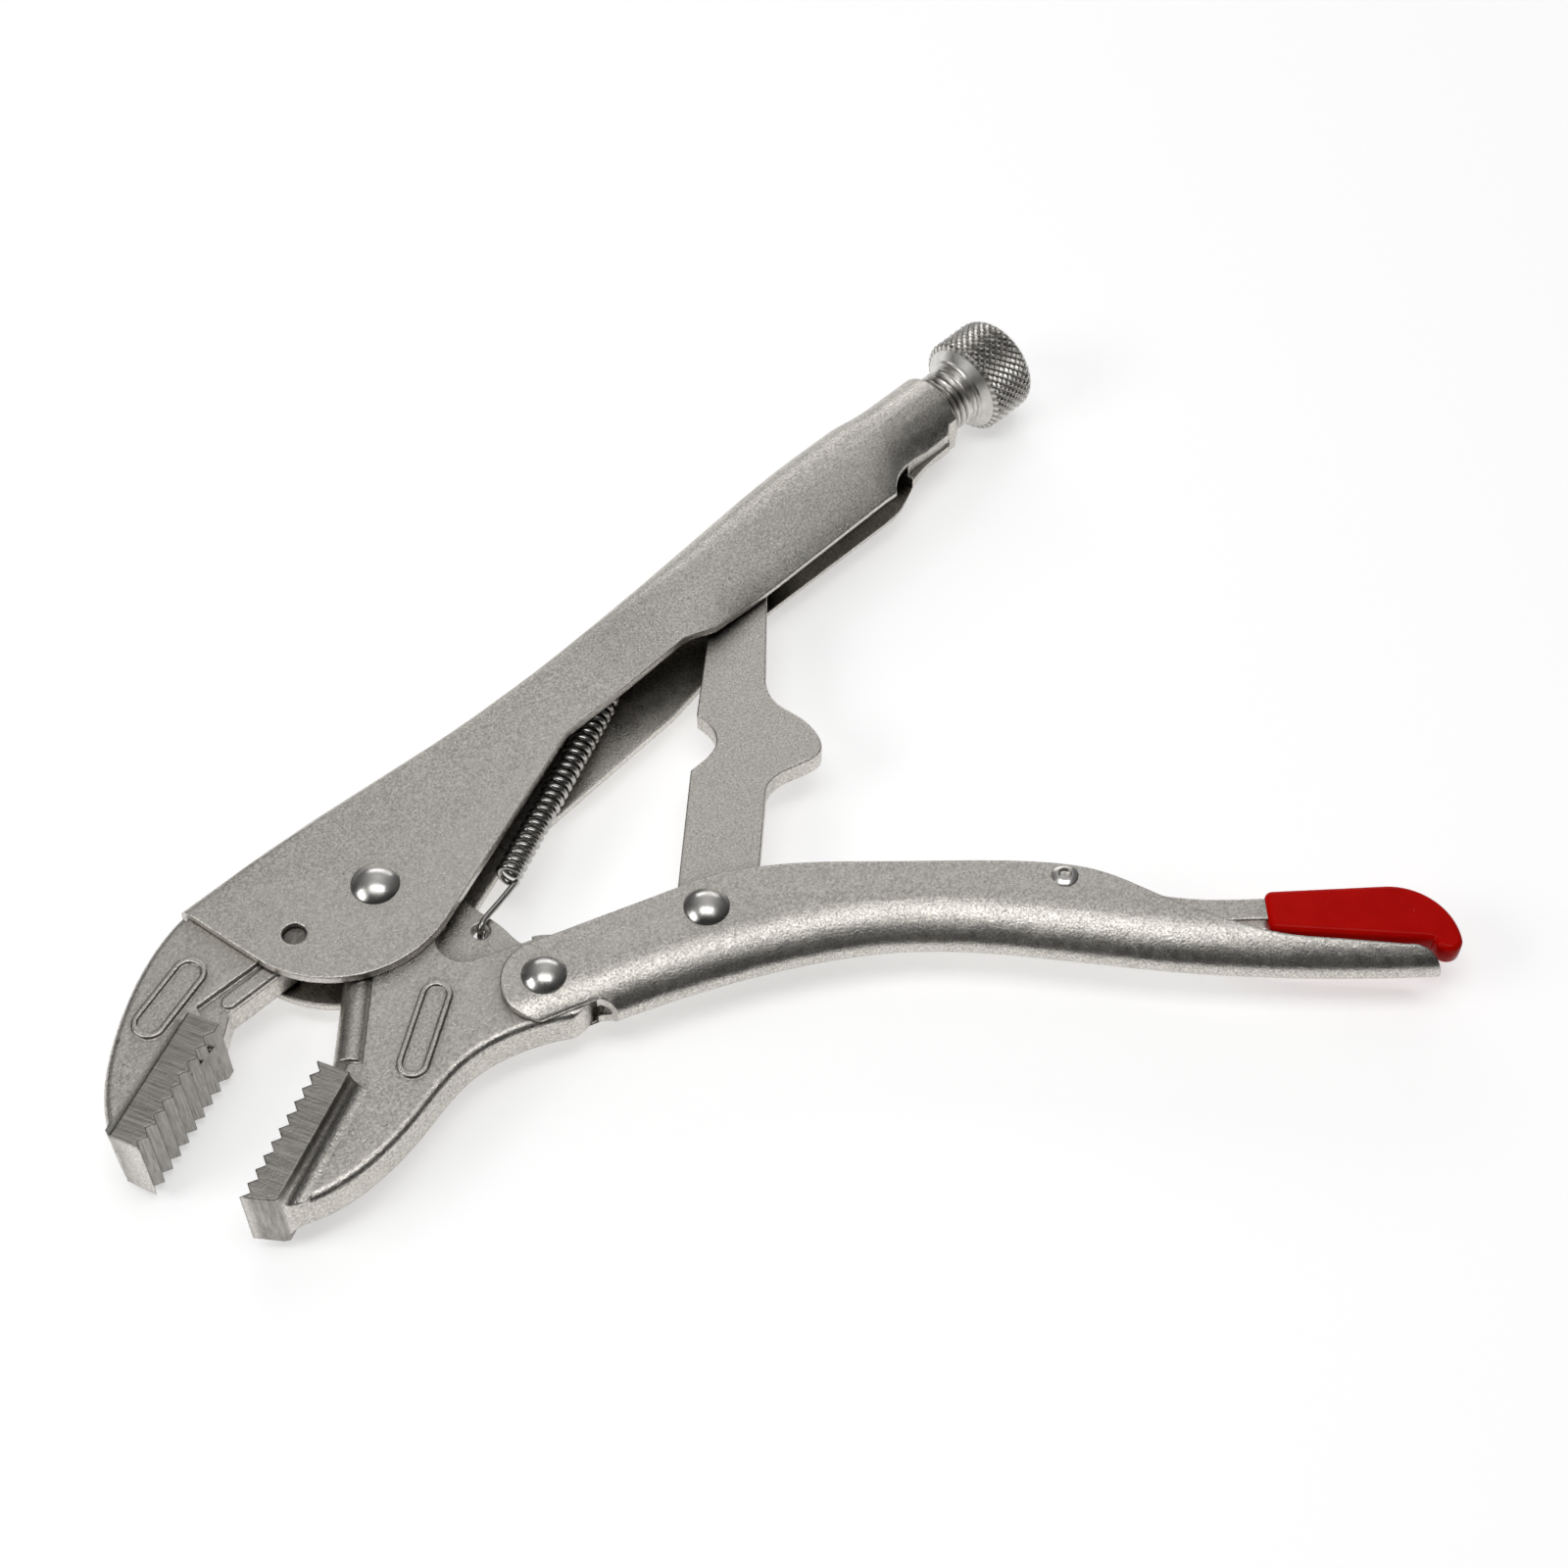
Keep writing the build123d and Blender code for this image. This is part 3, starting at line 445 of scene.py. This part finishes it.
def shank_rings():
    """Stations of the screw from its tip to the collar: x, radius and cut."""
    blank = THREAD_RADIUS - THREAD_BLANK
    rings = [(SCREW_TIP, CENTRE_RADIUS, ""), (SCREW_TIP + NOSE_LENGTH, NOSE_RADIUS, "")]
    rings += [(SCREW_TIP + TIP_LENGTH, TIP_RADIUS, ""), (SCREW_TIP + TIP_CONE, SPINDLE_RADIUS, "")]
    rings += [(SPINDLE_END, SPINDLE_RADIUS, ""), (SPINDLE_END + SPINDLE_FLARE, blank, "")]
    rings += [(THREAD_START, blank, "")]
    stations = np.arange(THREAD_START + THREAD_STEP, THREAD_END, THREAD_STEP)
    rings += [(x, THREAD_RADIUS, "thread") for x in stations]
    rings += [(THREAD_END + NECK_LEAD, NECK_RADIUS, ""), (NECK_END - NECK_RELIEF, NECK_RADIUS, "")]
    rings += [(NECK_END, NECK_RADIUS + CHAMFER, ""), (NECK_END, COLLAR_RADIUS - CHAMFER, "")]
    return rings + [(NECK_END + CHAMFER, COLLAR_RADIUS, "")]


def knob_rings():
    """Stations of the screw from the collar to the dish in the knob's end: x, radius and cut."""
    face, crown = KNOB_RADIUS - FACE_RADIUS, KNOB_RADIUS - CROWN_RADIUS
    collar_end = NECK_END + COLLAR_WIDTH
    rings = [(collar_end, COLLAR_RADIUS, ""), (collar_end + FACE_STEP, COLLAR_RADIUS + FACE_LIP, "")]
    rings += [(KNOB_START - FACE_LEAD, FACE_RADIUS - FACE_LIP, "")]
    rings += [(KNOB_START - KNOB_CHAMFER, FACE_RADIUS, "knurl")]
    for x in np.arange(KNOB_START - KNURL_LEAD, KNOB_END, KNURL_STEP):
        front = FACE_RADIUS + face * (x - KNOB_START + KNOB_CHAMFER) / KNOB_CHAMFER
        share = max(x - BARREL_END, 0) / (KNOB_END - BARREL_END)
        rings.append((x, min(front, KNOB_RADIUS - crown * share ** 2), "knurl"))
    rings += [(KNOB_END, CROWN_RADIUS - CROWN_EDGE, ""), (KNOB_END, CROWN_RADIUS - CROWN_RIM, "")]
    return rings + [(KNOB_END - DISH_DEPTH, DISH_RADIUS, ""), (KNOB_END - DISH_DEPTH, CENTRE_RADIUS, "")]


def build_screw(material):
    """Turned screw with a helical thread and a diamond knurl cut into its barrel."""
    turns = np.arange(AROUND) / AROUND
    angles = 2 * math.pi * turns
    knurl_turns = turns * KNURLS_AROUND
    knurl_width = 2 * math.pi * KNOB_RADIUS / KNURLS_AROUND
    verts, depths = [], []
    rings = shank_rings() + knob_rings()
    for x, radius, cut in rings:
        radii = np.full(AROUND, radius)
        depth = np.zeros(AROUND)
        if cut == "thread":
            slope = triangle(x / THREAD_PITCH - turns)
            valley = np.clip(THREAD_STEEPNESS * slope - THREAD_CREST, 0, 1)
            depth = valley * min((THREAD_END - x) / THREAD_FADE, 1)
            radii = radius - (THREAD_RADIUS - THREAD_ROOT) * depth
        elif cut == "knurl":
            lead = x / knurl_width
            ridge = np.minimum(triangle(knurl_turns + lead), triangle(knurl_turns - lead))
            depth = 1 - np.clip(ridge / (1 - KNURL_TIP), 0, 1)
            radii = np.minimum(radius, KNOB_RADIUS - KNURL_DEPTH * depth)
        for angle, r in zip(angles, radii):
            verts.append(place(x, SCREW_Y + r * math.cos(angle), r * math.sin(angle)))
        depths.extend(depth)
    faces = ring_faces(len(rings), AROUND)
    piece = mesh_piece("adjusting_screw_turned", verts, faces, "screw", material)
    hollow = piece.data.attributes.new("hollow", "FLOAT", "POINT")
    hollow.data.foreach_set("value", np.array(depths, np.float32))
    piece.data.set_sharp_from_angle(angle=SCREW_CREASE)
    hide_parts("adjusting_screw")


def spring_route():
    """Points of the spring's wire from the hook in the ear to the hook in the handle's tab."""
    along = Vector((math.cos(SPRING_SLOPE), math.sin(SPRING_SLOPE), 0))
    aside = Vector((-math.sin(SPRING_SLOPE), math.cos(SPRING_SLOPE), 0))
    up = Vector((0, 0, 1))
    start, ear, tab = Vector((*COIL_START, 0)), Vector((*EAR_HOLE, 0)), Vector((*TAB_HOLE, 0))
    leg = (start - ear).normalized()
    coil = []
    for step in range(COIL_TURNS * POINTS_PER_TURN + 1):
        angle = math.pi + 2 * math.pi * step / POINTS_PER_TURN
        radial = aside * math.cos(angle) + up * math.sin(angle)
        coil.append(start + along * (COIL_PITCH * angle / (2 * math.pi)) + radial * COIL_RADIUS)
    far_leg = (tab - coil[-1]).normalized()
    over_ear, under_ear = EAR_HALF + HOOK_RISE, EAR_HALF + HOOK_RISE + WIRE / 2
    over_tab, under_tab = TAB_HALF + HOOK_RISE, TAB_HALF + HOOK_RISE + WIRE / 2
    ear_hook = [
        ear + leg * HOOK_END - up * under_ear,
        ear + leg * EAR_TURN - up * under_ear,
        ear - leg * EAR_BACK - up * EAR_SIDE,
        ear - leg * EAR_BACK + up * EAR_SIDE,
        ear + leg * EAR_TURN + up * over_ear,
        ear + leg * HOOK_REACH + up * over_ear,
        ear.lerp(coil[0], LEG_SHARE) + up * LEG_RISE,
    ]
    tab_hook = [
        tab - far_leg * HOOK_REACH + up * over_tab,
        tab - far_leg * TAB_TURN + up * over_tab,
        tab + far_leg * TAB_TURN,
        tab - far_leg * TAB_TURN - up * under_tab,
        tab - far_leg * HOOK_END - up * under_tab,
    ]
    return [place(*point) for point in ear_hook + coil + tab_hook]


def build_spring(material):
    """Drawn wire along the spring's route, held by the handle at one end and the jaw at the other."""
    route = spring_route()
    line = bpy.data.curves.new("spring_route", "CURVE")
    line.dimensions = "3D"
    spline = line.splines.new("NURBS")
    spline.points.add(len(route) - 1)
    for point, at in zip(spline.points, route):
        point.co = (*at, 1.0)
    spline.order_u = 3
    spline.use_endpoint_u = True
    line.resolution_u = 3
    line.bevel_depth = WIRE / 2 * MM
    line.bevel_resolution = 4
    line.use_fill_caps = True
    carrier = bpy.data.objects.new("spring_route", line)
    put_in_scene(carrier)
    mesh = bpy.data.meshes.new_from_object(carrier)
    bpy.data.objects.remove(carrier)
    mesh.materials.clear()
    mesh.materials.append(material)
    mesh.shade_smooth()
    piece = bpy.data.objects.new("jaw_spring_wire", mesh)
    put_in_scene(piece)
    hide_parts("jaw_spring")
    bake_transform(piece)


def turned(heading, angle):
    """Plan heading turned to the left by an angle."""
    c, s = math.cos(angle), math.sin(angle)
    return Vector((heading.x * c - heading.y * s, heading.x * s + heading.y * c))


def arc(start, heading, end, count):
    """Points of the arc that leaves start along heading and reaches end, and its heading there."""
    start, heading, end = Vector(start), Vector(heading).normalized(), Vector(end)
    chord = end - start
    turn = 2 * math.atan2(heading.x * chord.y - heading.y * chord.x, heading.dot(chord))
    points = []
    for step in range(1, count + 1):
        bend = turn * step / count / 2
        reach = chord.length * math.sin(bend) / math.sin(turn / 2)
        points.append(start + turned(heading, bend) * reach)
    return points, turned(heading, turn)


def rounded_corner(before, at, after):
    """Points of a rounded corner between two straight sides."""
    at = Vector(at)
    back, ahead = (Vector(before) - at).normalized(), (Vector(after) - at).normalized()
    reach = GRIP_CORNER / math.tan(back.angle(ahead) / 2)
    first = at + back * reach
    return [first] + arc(first, -back, at + ahead * reach, CORNER_STEPS)[0]


def between(start, end, shares):
    """Points at shares of the way from one point to another."""
    return [Vector(start).lerp(Vector(end), share) for share in shares]


def grip_outline():
    """Closed outline of the dipped grip in the lever's axes, with rounded collar corners."""
    top = rounded_corner(GRIP_FOOT, GRIP_COLLAR, GRIP_BACK)
    foot = rounded_corner(GRIP_HEEL, GRIP_FOOT, GRIP_COLLAR)
    bend, heading = arc(GRIP_BACK, Vector(GRIP_BACK) - Vector(GRIP_COLLAR), GRIP_NOSE, BEND_STEPS)
    tip = arc(GRIP_NOSE, heading, GRIP_HEEL, TIP_STEPS)[0]
    back = between(top[-1], GRIP_BACK, BACK_SHARES)
    belly = between(GRIP_HEEL, foot[0], BELLY_SHARES)
    return top + back + bend + tip + belly + foot + between(foot[-1], top[0], COLLAR_SHARES)


def build_grip(material):
    """Vinyl coat of even thickness with rounded edges."""
    outline = grip_outline()
    count = len(outline)
    inward = []
    for index in range(count):
        ahead = outline[(index + 1) % count] - outline[index - 1]
        inward.append(Vector((ahead.y, -ahead.x)).normalized())
    rings = []
    for step in range(-GRIP_ROUND_STEPS, GRIP_ROUND_STEPS + 1):
        swing = math.pi / 2 * step / GRIP_ROUND_STEPS
        inset = GRIP_ROUND * (1 - math.cos(swing))
        height = GRIP_ROUND * math.sin(swing)
        height += math.copysign(GRIP_HALF - GRIP_ROUND, step) if step else 0.0
        rings.append((inset, height))
    verts = []
    for inset, height in rings:
        verts += [lever_place(*(point + side * inset), height) for point, side in zip(outline, inward)]
    faces = ring_faces(len(rings), count)
    piece = mesh_piece("release_lever_grip_dip", verts, faces, "release", material)
    piece.data.set_sharp_from_angle(angle=GRIP_CREASE)
    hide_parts("release_lever_grip")


def dress():
    """Materials on the CAD nodes, and the pieces that replace plain solids."""
    satin = satin_plate(
        "satin_nickel_plate", tone=0.6, roughness=0.34, grain=2400.0, speck=0.95, bump=0.55)[0]
    # The pin's dark tone is painted shade, standing in for the shade in its recess in the jaw
    pin = satin_plate("staked_pin_painted_shade", tone=0.3, roughness=0.5, grain=1500.0, speck=0.8, bump=0.9)[0]
    bright = bright_plate("bright_nickel_plate", tone=0.7, roughness=0.25)
    upper = ground_jaw("forged_upper_jaw", UPPER_NOSE, UPPER_SLOPE, UPPER_LENGTH, UPWARD)
    lower = ground_jaw("forged_lower_jaw", LOWER_TIP, LOWER_SLOPE, LOWER_LENGTH, DOWNWARD)
    for node, width in SHEET_EDGES.items():
        finish_node(node, satin, width)
    for node in RIVETS:
        finish_node(node, bright, RIVET_EDGE)
    finish_node("fixed_jaw", upper, JAW_EDGE)
    finish_node("movable_jaw", lower, JAW_EDGE)
    finish_node("fixed_jaw_pin", pin, PIN_EDGE)
    build_screw(bright_plate("turned_nickel", tone=0.74, roughness=0.32, hollows="hollow"))
    build_spring(bright_plate("drawn_wire", tone=0.5, roughness=0.24))
    build_grip(dipped_vinyl("red_dip"))


def build_floor():
    """Pale floor, lifted towards white where the camera or a reflection sees it."""
    mesh = bpy.data.meshes.new("floor")
    corners = [(x * FLOOR_REACH, y * FLOOR_REACH, 0) for x, y in ((-1, -1), (1, -1), (1, 1), (-1, 1))]
    mesh.from_pydata(corners, [], [(0, 1, 2, 3)])
    floor = bpy.data.objects.new("floor", mesh)
    put_in_scene(floor)
    material, tree, shader = new_material("pale_floor")
    shader.inputs["Base Color"].default_value = FLOOR_COLOUR
    shader.inputs["Roughness"].default_value = FLOOR_ROUGH
    shader.inputs["Emission Color"].default_value = WHITE
    path = add(tree, "ShaderNodeLightPath").outputs
    reflected = math_node(tree, "ADD", path["Is Glossy Ray"], path["Is Transmission Ray"])
    seen = math_node(tree, "ADD", path["Is Camera Ray"], reflected)
    tree.links.new(math_node(tree, "MULTIPLY", seen, FLOOR_GLOW), shader.inputs["Emission Strength"])
    mesh.materials.append(material)


def build_sky():
    """Soft surround, brightest overhead and behind the part, and dim on the camera's side."""
    world = bpy.data.worlds.new("studio")
    bpy.context.scene.world = world
    world.use_nodes = True
    tree = world.node_tree
    tree.nodes.clear()
    heading = add(tree, "ShaderNodeTexCoord").outputs["Generated"]
    facing = add(tree, "ShaderNodeVectorMath", {0: heading, 1: SKY_HEADING}, operation="DOT_PRODUCT")
    level = add(tree, "ShaderNodeFloatCurve", {"Value": remap(tree, facing.outputs["Value"], SKY_BAND)})
    curve = level.mapping.curves[0]
    for point, at in zip(curve.points, SKY_ENDS):
        point.location = at
    for at in SKY_BENDS:
        curve.points.new(*at)
    level.mapping.update()
    sky = add(tree, "ShaderNodeBackground", {"Color": WHITE, "Strength": level.outputs["Value"]})
    add(tree, "ShaderNodeOutputWorld", {"Surface": sky.outputs["Background"]})


def build_lamps():
    """Soft rectangular lamps turned towards the part's middle on the floor."""
    middle = Vector((cad_box[0][0] + cad_box[1][0], cad_box[0][1] + cad_box[1][1], 0)) / 2
    for name, offset, size, power in LAMPS:
        lamp = bpy.data.lights.new(name, "AREA")
        lamp.shape = "RECTANGLE"
        lamp.size, lamp.size_y = size
        lamp.energy = power
        holder = bpy.data.objects.new(name, lamp)
        holder.location = middle + Vector(offset)
        holder.rotation_euler = (middle - holder.location).to_track_quat("-Z", "Y").to_euler()
        put_in_scene(holder)


def build_camera():
    """Camera at the photograph's angle, with the Standard view transform."""
    level_part, fall = math.cos(VIEW_ELEVATION), math.sin(VIEW_ELEVATION)
    look = Vector((level_part * math.cos(VIEW_AZIMUTH), level_part * math.sin(VIEW_AZIMUTH), -fall))
    lens = bpy.data.cameras.new("photo_view")
    lens.sensor_width = SENSOR
    lens.lens = SENSOR * FOCAL_PIXELS / PHOTO_PIXELS
    lens.clip_start = NEAREST_SEEN
    camera = bpy.data.objects.new("photo_view", lens)
    camera.location = place(*VIEW_AIM) - look * VIEW_DISTANCE * MM
    camera.rotation_euler = look.to_track_quat("-Z", "Y").to_euler()
    put_in_scene(camera)
    bpy.context.scene.camera = camera
    bpy.context.scene.view_settings.view_transform = "Standard"


dress()
build_floor()
build_sky()
build_lamps()
build_camera()
